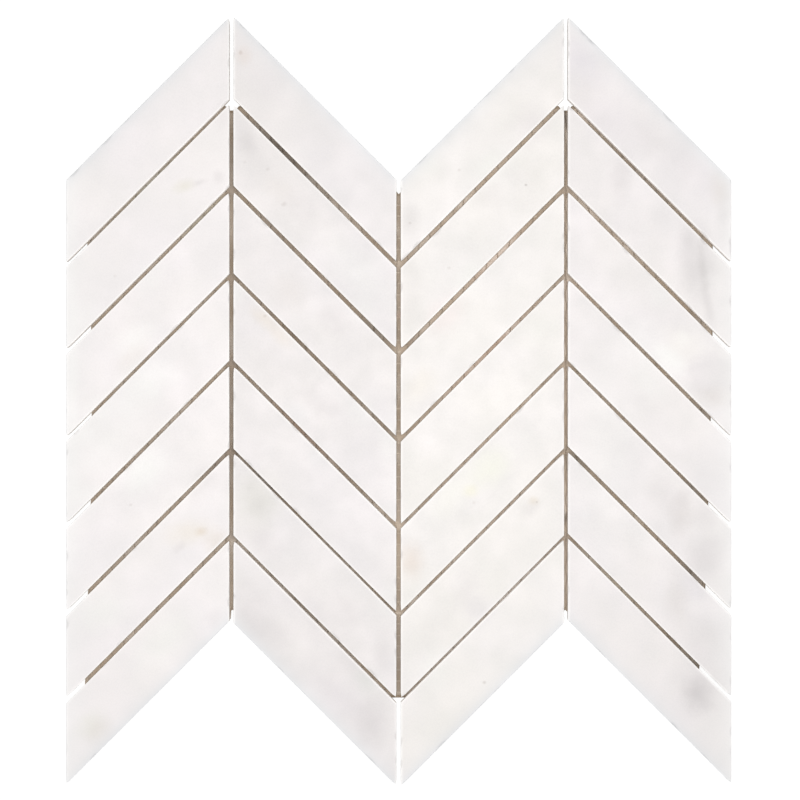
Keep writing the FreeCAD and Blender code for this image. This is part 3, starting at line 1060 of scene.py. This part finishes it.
def light_world(strength):
    """Even white light from all round, and plain white behind the object."""
    world = bpy.data.worlds.new("studio")
    bpy.context.scene.world = world
    world.use_nodes = True
    tree = world.node_tree
    tree.nodes.clear()
    lighting = add(tree, "ShaderNodeBackground", {"Strength": strength})
    backdrop = add(tree, "ShaderNodeBackground", {"Strength": 1.0})
    surface = white_for_sight(tree, lighting.outputs[0], backdrop.outputs[0])
    add(tree, "ShaderNodeOutputWorld", {"Surface": surface})


# Operators

class CHEVRON_OT_stage(bpy.types.Operator):
    """Sets up the floor, the light and the camera that looks straight down"""

    bl_idname = "chevron.stage"
    bl_label = "Set the stage"

    def execute(self, context):
        look = context.scene.chevron_stage
        mesh = bpy.data.meshes.new("floor")
        corners = [(x * FLOOR_HALF, y * FLOOR_HALF, 0) for x, y in ((-1, -1), (1, -1), (1, 1), (-1, 1))]
        mesh.from_pydata(corners, [], [(0, 1, 2, 3)])
        floor = bpy.data.objects.new("floor", mesh)
        floor.location.z = CAD_BOX[0].z - 0.1 * MM
        floor.data.materials.append(floor_material())
        context.scene.collection.objects.link(floor)

        light_world(look.sky)
        data = bpy.data.lights.new("overhead_softbox", "AREA")
        data.shape = "ELLIPSE"
        data.size = look.lamp_length
        data.size_y = look.lamp_width
        data.energy = look.lamp
        data.color = linear(look.lamp_colour)[:3]
        lamp = bpy.data.objects.new("overhead_softbox", data)
        lamp.location = (look.lamp_x, look.lamp_y, look.lamp_height)
        lamp.rotation_euler.z = look.lamp_turn
        lamp.visible_camera = False
        context.scene.collection.objects.link(lamp)

        eye = bpy.data.cameras.new("camera")
        eye.sensor_width = 36.0
        eye.lens = eye.sensor_width * look.distance / look.view_width
        eye.clip_start = 0.05
        camera = bpy.data.objects.new("camera", eye)
        camera.location = (look.camera_x, look.camera_y, CAD_BOX[1].z + look.distance)
        context.scene.collection.objects.link(camera)
        context.scene.camera = camera
        context.scene.view_settings.view_transform = "Standard"
        return {"FINISHED"}


class CHEVRON_OT_marble(bpy.types.Operator):
    """Cuts the marble pieces with their eased and chipped edges"""

    bl_idname = "chevron.marble"
    bl_label = "Cut the marble pieces"

    def execute(self, context):
        look = context.scene.chevron_marble
        sawn = sawn_marble(look)
        for node in STONE_NODES:
            stone = read_stone(node)
            points, faces, polished, tints = cut_stone(stone, look)
            name = "marble_col{}_row{}".format(stone.column, stone.row)
            piece = new_piece(name, points, faces, [node])
            for tint, values in tints.items():
                piece.data.attributes.new(tint, "FLOAT", "POINT").data.foreach_set("value", values)
            piece.data.materials.append(polished_marble(stone, look))
            piece.data.materials.append(sawn)
            finish = np.ones(len(faces), np.int32)
            finish[:polished] = 0
            piece.data.polygons.foreach_set("material_index", finish)
            piece.data.polygons.foreach_set("use_smooth", np.ones(len(faces), bool))
            piece.data.set_sharp_from_angle(angle=math.radians(35))
        return {"FINISHED"}


class CHEVRON_OT_backing(bpy.types.Operator):
    """Weaves the glass-fibre mesh and spreads the resin that holds the stones on it"""

    bl_idname = "chevron.backing"
    bl_label = "Weave the backing mesh"

    def execute(self, context):
        look = context.scene.chevron_backing
        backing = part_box(BACKING_NODE)
        outline = cut_outline()
        dice = np.random.default_rng(7)
        thread = coated_yarn(look)
        weft = join_yarns("mesh_weft_yarns", weft_yarns(outline, backing, look, dice), (0, 1, 0),
                          look.weft_width / 2, WEFT_RISE, WEFT_SIDES)
        warp = join_yarns("mesh_warp_yarns", warp_yarns(outline, backing, look, dice), (1, 0, 0),
                          look.warp_width / 2, WARP_RISE, WARP_SIDES)
        for yarns in (weft, warp):
            yarns.data.materials.append(thread)
        points, faces = resin_sheet(outline, backing, look)
        film = new_piece("mesh_resin_film", points, faces, [BACKING_NODE])
        film.data.materials.append(set_resin(look))
        film.data.polygons.foreach_set("use_smooth", np.ones(len(faces), bool))
        return {"FINISHED"}


class CHEVRON_PT_tile(bpy.types.Panel):
    """Sidebar panel that lists the steps of the tile"""

    bl_label = "Chevron Tile"
    bl_space_type = "VIEW_3D"
    bl_region_type = "UI"
    bl_category = "Chevron Tile"

    def draw(self, context):
        for step in STEPS:
            self.layout.operator(step.bl_idname)


STEPS = (CHEVRON_OT_stage, CHEVRON_OT_marble, CHEVRON_OT_backing)
SETTINGS = {
    "chevron_marble": MarbleSettings,
    "chevron_backing": BackingSettings,
    "chevron_stage": StageSettings,
}
CLASSES = tuple(SETTINGS.values()) + STEPS + (CHEVRON_PT_tile,)


def register():
    for made in CLASSES:
        bpy.utils.register_class(made)
    for name, kind in SETTINGS.items():
        setattr(bpy.types.Scene, name, bpy.props.PointerProperty(type=kind))


def unregister():
    for name in SETTINGS:
        delattr(bpy.types.Scene, name)
    for made in reversed(CLASSES):
        bpy.utils.unregister_class(made)


def main():
    """Makes the whole tile."""
    register()
    bpy.ops.chevron.stage()
    bpy.ops.chevron.marble()
    bpy.ops.chevron.backing()


if __name__ == "__main__":
    main()
